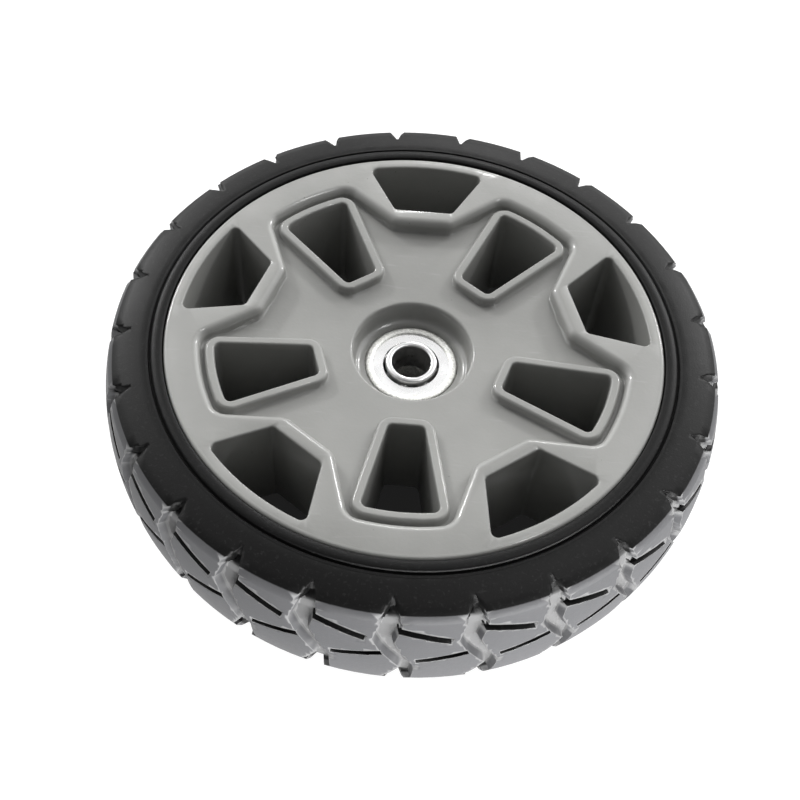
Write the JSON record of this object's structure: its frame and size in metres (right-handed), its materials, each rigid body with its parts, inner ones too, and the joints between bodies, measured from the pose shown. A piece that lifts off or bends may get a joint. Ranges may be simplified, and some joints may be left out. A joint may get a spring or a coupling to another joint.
{
  "type": "lawn mower wheel",
  "caption": "Lawn mower wheel with a black block-tread tyre on a grey dished plastic rim, open windows in the face and shielded ball bearings for a fixed axle.",
  "frame": {"origin": "on the spin axis, in the plane that the back of the tyre rests on when the wheel lies face up", "axes": "+Z along the spin axis towards the dished face, -Y through the middle of one lipped window"},
  "size_m": [0.203, 0.203, 0.0484],
  "materials": {
    "rim_plastic": "satin moulded",
    "tyre_rubber": "matt moulded",
    "ring_steel": "zinc plated",
    "ground_steel": "ground",
    "cage_steel": "pressed",
    "shield_steel": "polished"
  },
  "bodies": {
    "wheel": {"wheel_rim": "rim_plastic", "tyre": "tyre_rubber", "front_bearing_outer_ring": "ring_steel", "front_bearing_outer_shield": "shield_steel", "front_bearing_inner_shield": "shield_steel", "rear_bearing_outer_ring": "ring_steel", "rear_bearing_outer_shield": "shield_steel", "rear_bearing_inner_shield": "shield_steel"},
    "axle_set": {"front_bearing_inner_ring": "ground_steel", "rear_bearing_inner_ring": "ground_steel", "bearing_spacer": "ring_steel"},
    "front_ball_set": {"front_bearing_balls": "ground_steel", "front_bearing_cage": "cage_steel"},
    "rear_ball_set": {"rear_bearing_balls": "ground_steel", "rear_bearing_cage": "cage_steel"}
  },
  "joints": [
    {"name": "axle_spin", "type": "hinge", "parent": "wheel", "child": "axle_set", "pos_m": [0, 0, 0.0179], "axis": [0, 0, 1], "continuous": true},
    {"name": "front_ball_orbit", "type": "hinge", "parent": "wheel", "child": "front_ball_set", "pos_m": [0, 0, 0.0286], "axis": [0, 0, 1], "continuous": true},
    {"name": "rear_ball_orbit", "type": "hinge", "parent": "wheel", "child": "rear_ball_set", "pos_m": [0, 0, 0.0072], "axis": [0, 0, 1], "continuous": true}
  ],
  "couplings": [
    {"joint": "front_ball_orbit", "follows": "axle_spin", "ratio": 0.36722},
    {"joint": "rear_ball_orbit", "follows": "axle_spin", "ratio": 0.36722}
  ]
}
